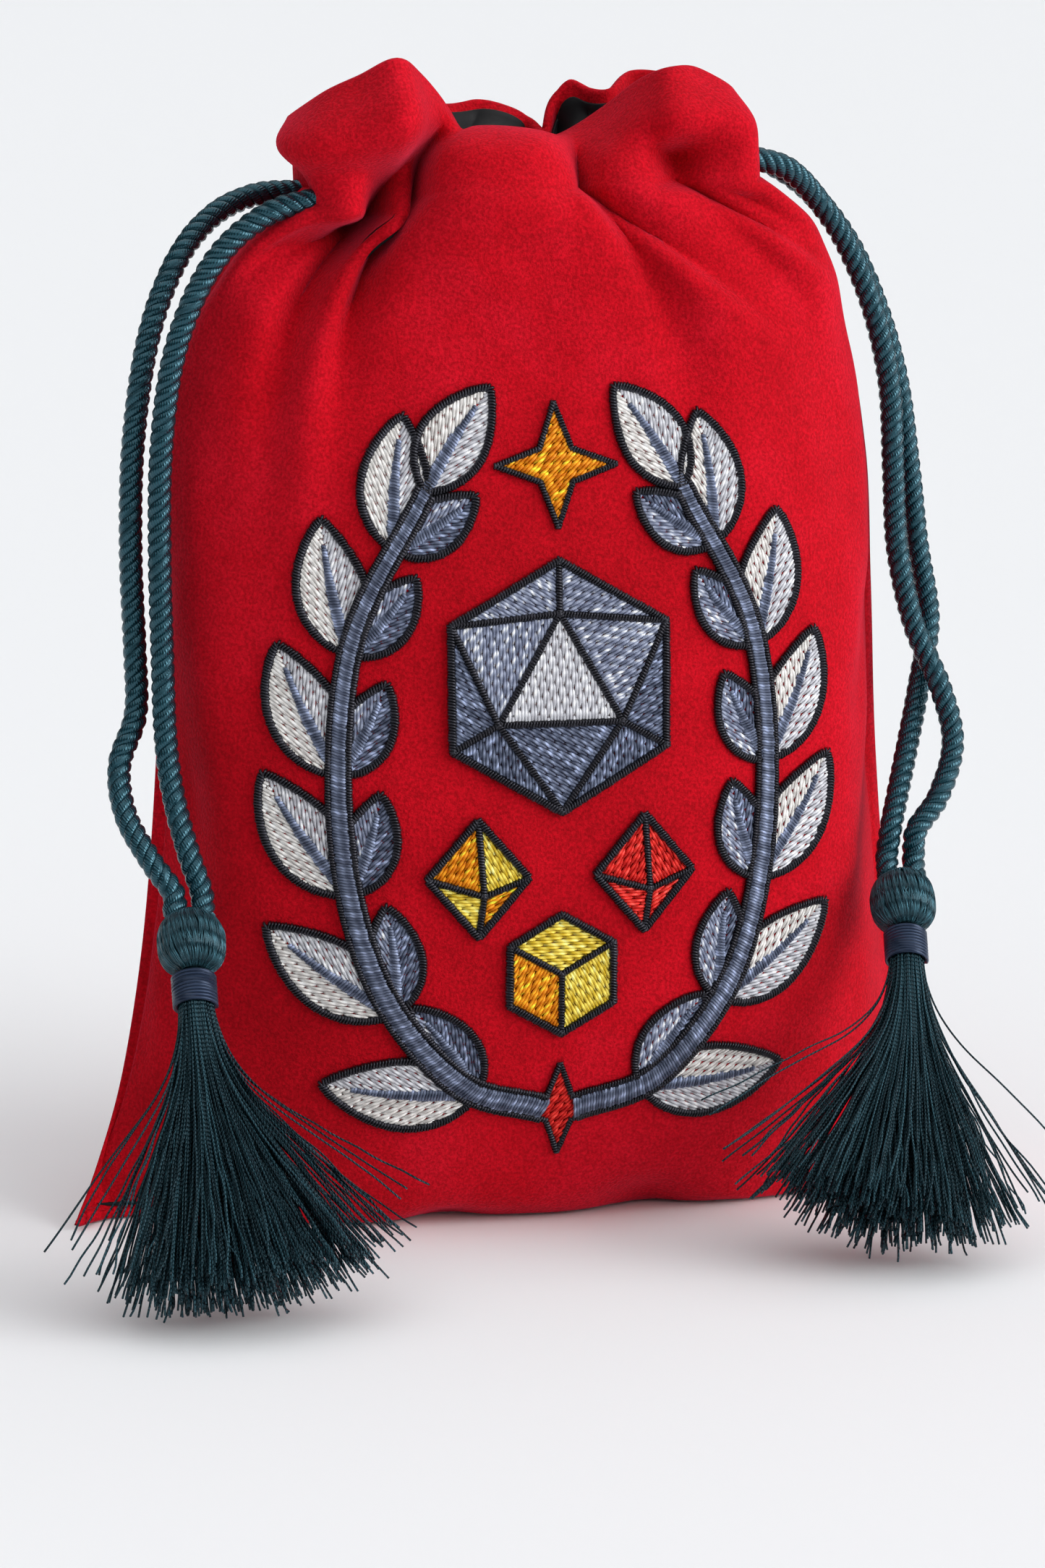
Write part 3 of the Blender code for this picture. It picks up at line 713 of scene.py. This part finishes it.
def pouch_grids():
    """The front and back cloth's middle surfaces, from the bottom seam to the top edge."""
    across = np.linspace(-1, 1, COLUMNS + 1)
    front, back = filled_shape(-1, across), filled_shape(1, across)
    back[:, 0], back[:, -1], back[0] = front[:, 0], front[:, -1], front[0]
    front, back = relax_cloth(front, back)
    grids = []
    for side, body in ((-1, front), (1, back)):
        frill = frill_shape(side, across)
        grid = np.concatenate([body, frill[1:]])
        grid[:, :, 2] = np.maximum(grid[:, :, 2], CLOTH_LOW)
        grids.append(finer(grid, 2))
    return grids


def add_pouch():
    """Both cloths and their linings; returns the velvet's outer face on the front."""
    faces = []
    for side, place, grid in zip((-1, 1), ("front", "back"), pouch_grids()):
        rows, columns = grid.shape[:2]
        edge = np.minimum(np.arange(columns), np.arange(columns)[::-1])
        share = SEAM_THINNEST + (1 - SEAM_THINNEST) * smoothstep(edge / SEAM_COLUMNS)
        velvet = closed_sheet(f"{place}_velvet", grid, VELVET * np.tile(share, (rows, 1)), MATERIALS["velvet"], -side)
        normal = surface_normals(grid) * -side
        top = rows - 1 - round(HEM / (FRILL_HEIGHT / FRILL_ROWS / 2))
        inner = grid - normal * (VELVET / 2 + SATIN / 2 + LINING_GAP)
        inner = inner[LINING_FREE_ROWS:top, LINING_FREE_COLUMNS:-LINING_FREE_COLUMNS]
        inner[:, :, 2] = np.maximum(inner[:, :, 2], LINING_LOW)
        lining = closed_sheet(f"{place}_satin", inner[::2, ::2], SATIN, MATERIALS["satin"], -side)
        for piece, slot, margin in ((velvet, "velvet", 0), (lining, "satin", LINING_MARGIN)):
            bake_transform(piece)
        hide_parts(f"{place}_panel", f"{place}_channel", f"{place}_frill")
        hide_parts(f"{place}_lining", f"{place}_frill_lining")
        faces.append(grid + normal * (VELVET / 2))
    return faces[0]


# ---------------------------------------------------------------- embroidery

STITCH_WIDTH, STITCH_SPACING, FILL_STITCH, FILL_RISE = 0.46, 0.4, 3.4, 0.26
SATIN_WIDTH, SATIN_SPACING, SATIN_SLANT = 0.42, 0.36, 0.25
OUTLINE_WIDTH, EDGE_WIDTH, STAR_EDGE_WIDTH = 1.05, 0.9, 0.8
# Along a stitch: its stations, how high it arches there, and how wide it is there
STITCH_STATIONS = np.array([0.0, 0.16, 0.5, 0.84, 1.0])
STITCH_ARCH = np.array([-0.2, 0.8, 1.0, 0.8, -0.2])
STITCH_TAPER = np.array([0.7, 1.0, 1.0, 1.0, 0.7])
# A laurel wreath round a twenty-sided die; the wreath's stem on the right, from its tie to its tip
STEM = [(2, 16.5), (13, 20.5), (23, 34), (27, 54), (25, 76), (16, 94)]
LEAF_PLACES, LEAF_STEPS = (0.1, 0.27, 0.44, 0.61, 0.78, 0.93), 16
# Leaves outside and inside the stem: length, width, and degrees away from it
OUTER_LEAF, INNER_LEAF = (19.0, 9.0, 33.0), (14.0, 7.0, -36.0)


HEXAGON = (30, 90, 150, 210, 270, 330)


class FrontSurface:
    """Depth and slope of the front cloth at any place across and up, from rays cast at its outer face."""

    STEP = 0.8
    LOW = np.array([-46.0, 6.0])
    SHAPE = (116, 132)

    def __init__(self, outer):
        rows, columns = outer.shape[:2]
        tree = BVHTree.FromPolygons([tuple(p) for p in outer.reshape(-1, 3)], grid_faces(rows, columns).tolist())
        self.depth = np.zeros(self.SHAPE)
        for i, j in np.ndindex(self.SHAPE):
            x, z = self.LOW + self.STEP * np.array([i, j])
            hit = tree.ray_cast(Vector((x, -100, z)), Vector((0, 1, 0)))[0]
            self.depth[i, j] = hit.y if hit else 0.0
        self.slope_x, self.slope_z = np.gradient(self.depth, self.STEP)

    def sample(self, field, x, z):
        a = np.clip((x - self.LOW[0]) / self.STEP, 0, self.SHAPE[0] - 1.001)
        b = np.clip((z - self.LOW[1]) / self.STEP, 0, self.SHAPE[1] - 1.001)
        i, j = a.astype(int), b.astype(int)
        s, t = a - i, b - j
        return ((1 - s) * (1 - t) * field[i, j] + s * (1 - t) * field[i + 1, j]
                + (1 - s) * t * field[i, j + 1] + s * t * field[i + 1, j + 1])

    def at(self, x, z):
        slopes = (self.sample(slope, x, z) for slope in (self.slope_x, self.slope_z))
        normal = unit(np.insert(np.stack([*slopes], -1), 1, -1.0, axis=-1))
        return np.stack([x, self.sample(self.depth, x, z), z], -1), normal


class Stitching:
    """Stitches of one thread colour, each from one place to another on the front."""

    def __init__(self):
        self.rows = []

    def stitch(self, start, end, width, rise, lift):
        self.rows.append((*start, *end, width, rise, lift))

    def fill(self, outline, angle, lift=0.0):
        """Rows of stitches across a shape at an angle in degrees, their ends staggered like bricks."""
        outline = np.asarray(outline, float)
        turn = math.radians(angle)
        along, across = np.array([math.cos(turn), math.sin(turn)]), np.array([-math.sin(turn), math.cos(turn)])
        u, v = outline @ along, outline @ across
        for k, level in enumerate(np.arange(v.min() + STITCH_SPACING / 2, v.max(), STITCH_SPACING)):
            nu, nv = np.roll(u, -1), np.roll(v, -1)
            crossing = (v <= level) != (nv <= level)
            places = np.sort((u + (level - v) / np.where(crossing, nv - v, 1) * (nu - u))[crossing])
            for first, last in zip(places[::2], places[1::2]):
                shift = FILL_STITCH * ((k * 0.37) % 1.0)
                low, high = math.floor((first - shift) / FILL_STITCH) + 1, math.ceil((last - shift) / FILL_STITCH)
                cuts = np.arange(low, high) * FILL_STITCH + shift
                cuts = [first, *[c for c in cuts if first + 0.7 < c < last - 0.7], last]
                for a, b in zip(cuts, cuts[1:]):
                    if b - a > 0.5:
                        start, end = along * a + across * level, along * b + across * level
                        self.stitch(start, end, STITCH_WIDTH, FILL_RISE, lift)

    def column(self, path, width, lift=0.2):
        """Satin stitches side by side across a path; width is one number, or several spread along it."""
        path = np.asarray(path, float)
        length = lengths_along(path)
        places = np.arange(0, length[-1], SATIN_SPACING)
        line = np.column_stack([np.interp(places, length, path[:, k]) for k in (0, 1)])
        heading = unit(np.gradient(line, axis=0))
        aside = np.column_stack([-heading[:, 1], heading[:, 0]]) + SATIN_SLANT * heading
        widths = np.interp(np.linspace(0, 1, len(line)), np.linspace(0, 1, np.size(width)), np.atleast_1d(width))
        for point, way, wide in zip(line, aside, widths):
            uneven = wide * (1 + 0.1 * RNG.uniform(-1, 1)) / 2
            self.stitch(point - way * uneven, point + way * uneven, SATIN_WIDTH, 0.16 + 0.1 * wide, lift)

    def edges(self, corners, width, lift):
        """Satin stitches along each side of a closed outline."""
        for a, b in zip(corners, [*corners[1:], corners[0]]):
            self.column([a, b], width, lift)

    def build(self, name, surface, material):
        """All the stitches as one mesh, each a four-sided thread arched over the cloth."""
        rows = np.array(self.rows)
        start, end = rows[:, 0:2], rows[:, 2:4]
        width, rise, lift = rows[:, 4], rows[:, 5], rows[:, 6]
        flat = start[:, None] + (end - start)[:, None] * STITCH_STATIONS[None, :, None]
        place, normal = surface.at(flat[..., 0], flat[..., 1])
        heading = unit(place[:, -1] - place[:, 0])
        side = unit(np.cross(normal, heading[:, None]))
        middle = place + normal * (lift[:, None] + rise[:, None] * STITCH_ARCH[None])[..., None]
        half = (width[:, None] / 2 * STITCH_TAPER[None])[..., None]
        top, foot = middle + normal * half * 0.75, middle - normal * half * 0.6
        ring = np.stack([middle - side * half, top, middle + side * half, foot], 2)
        stitches, stations = len(rows), len(STITCH_STATIONS)
        base = np.array([[s * 4 + k, s * 4 + (k + 1) % 4, s * 4 + 4 + (k + 1) % 4, s * 4 + 4 + k]
                         for s in range(stations - 1) for k in range(4)] + [[3, 2, 1, 0], [16, 17, 18, 19]])
        faces = (base[None] + (np.arange(stitches) * stations * 4)[:, None, None]).reshape(-1, 4)
        tone = np.repeat(RNG.uniform(0, 1, stitches), stations * 4)
        long = np.linalg.norm(end - start, axis=1)
        along = (long[:, None, None] * STITCH_STATIONS[None, :, None] * np.ones(4)).ravel()
        turn = np.tile(np.array([0, 0.25, 0.5, 0.75]), stitches * stations)
        return add_mesh(name, ring.reshape(-1, 3), faces, material, {"turn": turn, "along": along, "shade": tone})


def leaf_outline(base, heading, length, width, curl):
    """A leaf's two edges and its midrib; heading and curl in degrees."""
    t = np.linspace(0, 1, LEAF_STEPS + 1)
    angle = np.radians(heading + curl * t)
    ways = np.column_stack([np.cos(angle), np.sin(angle)])[1:] * (length / LEAF_STEPS)
    rib = np.array(base) + np.concatenate([[[0, 0]], np.cumsum(ways, axis=0)])
    half = width / 2 * np.sin(math.pi * t**0.85) ** 0.8
    aside = np.column_stack([-np.sin(angle), np.cos(angle)])
    return rib + aside * half[:, None], rib - aside * half[:, None], rib


def draw_leaf(thread, base, heading, size, light, dark):
    """A leaf in two colours, one for each side of its midrib, with a dark outline."""
    length, width, curl = size
    left, right, rib = leaf_outline(base, heading, length, width, curl)
    thread[light].fill(np.vstack([left, rib[::-1]]), heading + curl / 2 + 28)
    thread[dark].fill(np.vstack([right, rib[::-1]]), heading + curl / 2 - 28)
    thread["slate"].column(rib[:-3], (1.9, 1.5, 0.7))
    thread["black"].column(np.vstack([left, right[::-1]]), OUTLINE_WIDTH, lift=0.3)


def draw_wreath(thread):
    stem = evenly_spaced(STEM, 1.0)
    for side in (-1, 1):
        line = stem * np.array([side, 1])
        for k, share in enumerate(LEAF_PLACES):
            at = int(share * (len(line) - 2))
            way = line[at + 1] - line[at]
            heading = math.degrees(math.atan2(way[1], way[0]))
            for length, width, spread in (OUTER_LEAF, INNER_LEAF):
                outward = -spread * side
                light, dark = ("white", "pearl") if spread > 0 else ("steel", "slate")
                size = (length * (1 - 0.03 * k), width * (1 - 0.02 * k), -0.5 * outward)
                draw_leaf(thread, line[at], heading + outward, size, light, dark)
        end = line[-1] - line[-3]
        heading = math.degrees(math.atan2(end[1], end[0]))
        draw_leaf(thread, line[-1], heading, (15, 8, 12 * side), "white", "pearl")
        thread["slate"].column(line, (3.0, 2.4, 1.6), lift=0.35)
        way = unit(np.gradient(line, axis=0))
        aside = np.column_stack([-way[:, 1], way[:, 0]])
        for edge in (-1, 1):
            rim = line + edge * aside * np.linspace(1.6, 1.0, len(line))[:, None]
            thread["black"].column(rim, 0.8, lift=0.4)


def ring_points(centre, radius, angles):
    """Points round a centre, by their angle in degrees."""
    turns = {a: math.radians(a) for a in angles}
    return {a: (centre[0] + radius * math.cos(t), centre[1] + radius * math.sin(t)) for a, t in turns.items()}


def draw_facets(thread, facets, edges, outline):
    for corners, colour, angle in facets:
        thread[colour].fill(corners, angle, lift=0.1)
    for a, b in edges:
        thread["black"].column([a, b], EDGE_WIDTH, lift=0.4)
    thread["black"].edges(outline, OUTLINE_WIDTH, lift=0.45)


def draw_twenty_sided(thread, centre, radius):
    outer = ring_points(centre, radius, HEXAGON)
    inner = ring_points(centre, 0.58 * radius, (90, 210, 330))
    facets = [(list(inner.values()), "pearl", 90)]
    edges = []
    for k, (a, b, between) in enumerate(((90, 330, 30), (90, 210, 150), (210, 330, 270))):
        facets.append(((inner[a], inner[b], outer[between]), ("steel", "steel", "slate")[k], 30 + 60 * k))
        edges += [(inner[a], inner[b]), (inner[a], outer[between]), (inner[b], outer[between])]
    for k, corner in enumerate((90, 210, 330)):
        edges.append((inner[corner], outer[corner]))
        for turn in (-60, 60):
            other = outer[(corner + turn) % 360]
            facets.append(((inner[corner], outer[corner], other), ("steel", "slate", "slate")[k], corner + turn))
    draw_facets(thread, facets, edges, [outer[a] for a in HEXAGON])


def draw_cube(thread, centre, radius, colour, shade):
    outer = ring_points(centre, radius, HEXAGON)
    facets = [((centre, outer[a], outer[a + 60], outer[(a + 120) % 360]), facet_colour, angle)
              for a, facet_colour, angle in ((30, colour, 0), (150, shade, 60), (270, colour, 120))]
    draw_facets(thread, facets, [(centre, outer[a]) for a in (30, 150, 270)], [outer[a] for a in HEXAGON])


def draw_eight_sided(thread, centre, radius, colour, shade):
    x, z = centre
    top, bottom, left, right = (x, z + radius), (x, z - radius), (x - 0.85 * radius, z), (x + 0.85 * radius, z)
    front = (x + 0.1 * radius, z - 0.3 * radius)
    facets = [((end, side, front), facet_colour, angle) for end, side, facet_colour, angle in (
        (top, left, colour, 60), (top, right, shade, 120), (bottom, left, shade, 0), (bottom, right, colour, 30))]
    draw_facets(thread, facets, [(front, p) for p in (top, left, bottom, right)], [top, right, bottom, left])


def draw_star(thread, centre, radius, colour):
    points = []
    for k in range(8):
        reach, turn = radius if k % 2 == 0 else 0.38 * radius, k * math.pi / 4
        points.append((centre[0] + reach * math.sin(turn), centre[1] + reach * math.cos(turn)))
    thread[colour].fill(points, 45, lift=0.1)
    thread["black"].edges(points, STAR_EDGE_WIDTH, lift=0.35)


# Each thread's dark and light tone, which span its own tone and the painted highlights of its twist
THREAD_COLOURS = {
    "white": ((0.62, 0.59, 0.57), (0.9, 0.88, 0.85)),
    "pearl": ((0.46, 0.46, 0.5), (0.72, 0.73, 0.77)),
    "steel": ((0.14, 0.16, 0.24), (0.36, 0.4, 0.52)),
    "slate": ((0.045, 0.055, 0.09), (0.17, 0.2, 0.29)),
    "black": ((0.0015, 0.0015, 0.002), (0.01, 0.01, 0.013)),
    "orange": ((0.6, 0.16, 0.004), (0.95, 0.4, 0.02)),
    "yellow": ((0.62, 0.42, 0.02), (0.95, 0.78, 0.14)),
    "red": ((0.45, 0.008, 0.008), (0.85, 0.04, 0.03)),
}


def add_embroidery(front_outer):
    surface = FrontSurface(front_outer)
    thread = {colour: Stitching() for colour in THREAD_COLOURS}
    draw_wreath(thread)
    draw_twenty_sided(thread, (0, 70), 15.5)
    draw_eight_sided(thread, (-10.5, 46.5), 7.4, "orange", "yellow")
    draw_eight_sided(thread, (10.5, 46.5), 7.4, "red", "red")
    draw_cube(thread, (0, 34), 7.6, "yellow", "orange")
    draw_star(thread, (0, 97), 7.5, "orange")
    draw_star(thread, (0, 16.5), 6.0, "red")
    for number, (colour, stitching) in enumerate(thread.items()):
        material = thread_material(f"{colour}_thread", *THREAD_COLOURS[colour], 1.0, 0.7)
        piece = stitching.build(f"{colour}_stitches", surface, material)
        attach(piece, "pouch")
        if number == 0:
            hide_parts("embroidery")


# ---------------------------------------------------------------- tassels

HEAD_THREADS, HEAD_THREAD_RADIUS, HEAD_END_RADIUS = 240, 0.12, 1.5
CORE_STATIONS, CORE_INSET, CORE_SEGMENTS = 20, 0.22, 40
WINDINGS, WINDING_RADIUS, WINDING_STATIONS = 10, 0.27, 28
SKIRT_THREADS, STRAY_THREADS = 620, 34
SKIRT_STATIONS, SKIRT_THREAD_RADIUS, SKIRT_LENGTH, SKIRT_ROOT = 34, 0.13, 39.5, 1.9
# How far the skirt fans out to each side and hangs towards the pouch, in degrees
SKIRT_FAN, SKIRT_SWAY = 27.0, 9.0
# The lowest that a skirt thread lies, and how far above that it starts to bend flat
FLOOR_TOUCH, FLOOR_BEND = 0.25, 1.5


def to_world(place, points):
    matrix = np.array(place)
    return points @ matrix[:3, :3].T + matrix[:3, 3]


def head_radius(t):
    """The head's radius from its top, 0, to its foot, 1."""
    bulge = np.sqrt(np.maximum(1 - (2 * np.abs(t - 0.48)) ** 2.6, 0.02))
    return HEAD_END_RADIUS + (HEAD_RADIUS - HEAD_END_RADIUS) * bulge


def add_tassel_head(name, place):
    """Threads combed down over the knot, each a little off its neighbours, with a solid core behind them."""
    bundle = Bundle()
    core = np.linspace(0, 1, CORE_STATIONS)
    line = np.column_stack([0 * core, 0 * core, -HEAD_TOP - HEAD_LENGTH * core])
    bundle.add(to_world(place, line), head_radius(core) - CORE_INSET, CORE_SEGMENTS, 0.2)
    t = np.linspace(0, 1, 22)
    for k in range(HEAD_THREADS):
        angle = 2 * math.pi * (k + 0.7 * RNG.uniform()) / HEAD_THREADS
        turn = angle + 0.35 * t + 0.05 * RNG.normal() * np.sin(math.pi * t * RNG.uniform(0.6, 2)) * 2
        radius = head_radius(t) - 0.12 + 0.1 * RNG.uniform() + 0.12 * np.sin(3 * angle + 2 * t)
        path = np.column_stack([radius * np.cos(turn), radius * np.sin(turn), -HEAD_TOP - HEAD_LENGTH * t])
        bundle.add(to_world(place, path), HEAD_THREAD_RADIUS, 4, RNG.uniform())
    return bundle.build(name, MATERIALS["head"])


def add_binding(name, place):
    """One thread wound closely round the neck of the tassel."""
    radius = BINDING_RADIUS - 0.28
    top = -HEAD_TOP - HEAD_LENGTH - 0.35
    t = np.linspace(0, 1, WINDINGS * WINDING_STATIONS)
    angle = 2 * math.pi * WINDINGS * t
    drop = (BINDING_LENGTH - 2 * WINDING_RADIUS) * t
    path = np.column_stack([radius * np.cos(angle), radius * np.sin(angle), top - drop - WINDING_RADIUS])
    bundle = Bundle()
    bundle.add(to_world(place, path), WINDING_RADIUS, 8, 0.5)
    return bundle.build(name, MATERIALS["binding"])


def thread_path(place, start, angle, lean, length, wave, curl):
    """One skirt thread from under the binding, fanned out by two angles in degrees, kept above the floor."""
    top = -HEAD_TOP - HEAD_LENGTH - 1.5
    t = np.linspace(0, 1, SKIRT_STATIONS)
    opening = 0.1 + 0.9 * smoothstep(t / 0.55)
    swing, tilt = np.radians(angle) * opening, np.radians(lean) * opening
    step = length / (SKIRT_STATIONS - 1)
    heading = unit(np.column_stack([np.sin(swing), np.sin(tilt), -np.cos(swing) * np.cos(tilt)]))
    line = np.array([start[0], start[1], top]) + np.cumsum(heading * step, axis=0)
    for axis in (0, 1):
        ripple = np.sin(2 * math.pi * (wave[1] * t + wave[2 + axis])) - math.sin(2 * math.pi * wave[2 + axis])
        crimp = np.sin(2 * math.pi * (wave[5] * t + wave[3 - axis]))
        line[:, axis] += wave[0] * ripple * t + wave[6] * crimp * t + curl[axis] * t**4
    path = to_world(place, line)
    low = FLOOR_TOUCH + wave[4] + FLOOR_BEND
    path[:, 2] = np.where(path[:, 2] < low, low - FLOOR_BEND + FLOOR_BEND * np.exp((path[:, 2] - low) / FLOOR_BEND),
                          path[:, 2])
    return path


def add_skirt(name, place, toward_pouch):
    """Threads that fan out from under the binding, with a few strays; toward_pouch is 1 or -1 along X."""
    bundle = Bundle()
    for k in range(SKIRT_THREADS + STRAY_THREADS):
        around = RNG.uniform(0, 2 * math.pi)
        reach = math.sqrt(RNG.uniform(0, 1))
        stray = k >= SKIRT_THREADS
        start = (SKIRT_ROOT * reach * math.cos(around), SKIRT_ROOT * reach * math.sin(around))
        fan = reach * math.cos(around)
        angle = SKIRT_SWAY * toward_pouch + SKIRT_FAN * (1.9 if stray else 1) * fan + (3 + 3 * abs(fan)) * RNG.normal()
        lean = 9 * reach * math.sin(around) + 2.5 * RNG.normal()
        length = SKIRT_LENGTH + 1.1 * RNG.normal() - (4 * RNG.uniform() if stray else 0)
        wave = (0.3 * abs(RNG.normal()), RNG.uniform(0.8, 2.2), RNG.uniform(), RNG.uniform(),
                RNG.uniform(0, 1.3) ** 2, RNG.uniform(4, 7), 0.1 * abs(RNG.normal()))
        curl = RNG.normal(0, 2.0 if stray else 0.9, 2)
        path = thread_path(place, start, angle, lean, length, wave, curl)
        bundle.add(path, SKIRT_THREAD_RADIUS, 4, RNG.uniform() ** 1.5)
    return bundle.build(name, MATERIALS["thread"])


def add_tassel(side_name, place):
    body = f"{side_name}_tassel"
    head = add_tassel_head(f"{body}_head_threads", place)
    binding = add_binding(f"{body}_binding_threads", place)
    skirt = add_skirt(f"{body}_skirt_threads", place, 1 if side_name == "left" else -1)
    for piece, slot, parts in ((head, "thread", ("head", "knot")), (binding, "binding", ("binding",)),
                               (skirt, "thread", ("skirt",))):
        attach(piece, body)
        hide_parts(*(f"{body}_{part}" for part in parts))
    return [head, binding, skirt]


# ---------------------------------------------------------------- drawstrings

def add_drawstring(side_name, front_route, back_route, pivot, toe):
    """One tassel and the two strands that leave the channel's mouth and end in its head."""
    place = tassel_matrix(pivot, toe)
    tassel = add_tassel(side_name, place)
    strands = (("front", front_route, STRAND_OFFSET, ["loop"]), ("back", back_route, -STRAND_OFFSET, []))
    for strand, route, offset, hidden in strands:
        mouth = tuple((np.array(route[1]) + np.array(route[2])) / 2)
        ends = [tuple(place @ Vector((offset, 0, depth))) for depth in (CORD_LEAD_IN, 0, -CORD_END_DEPTH)]
        cord, line = add_strand(f"{side_name}_cord_{strand}", [mouth] + route[2:] + ends, MATERIALS["cord"])
        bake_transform(cord)
        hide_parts(*(f"{side_name}_{part}" for part in [f"strand_{strand}", *hidden]))


def main():
    add_camera()
    add_studio()
    add_embroidery(add_pouch())
    add_drawstring("left", LEFT_STRAND_FRONT, LEFT_STRAND_BACK, LEFT_PIVOT, LEFT_TOE)
    add_drawstring("right", RIGHT_STRAND_FRONT, RIGHT_STRAND_BACK, RIGHT_PIVOT, RIGHT_TOE)


main()
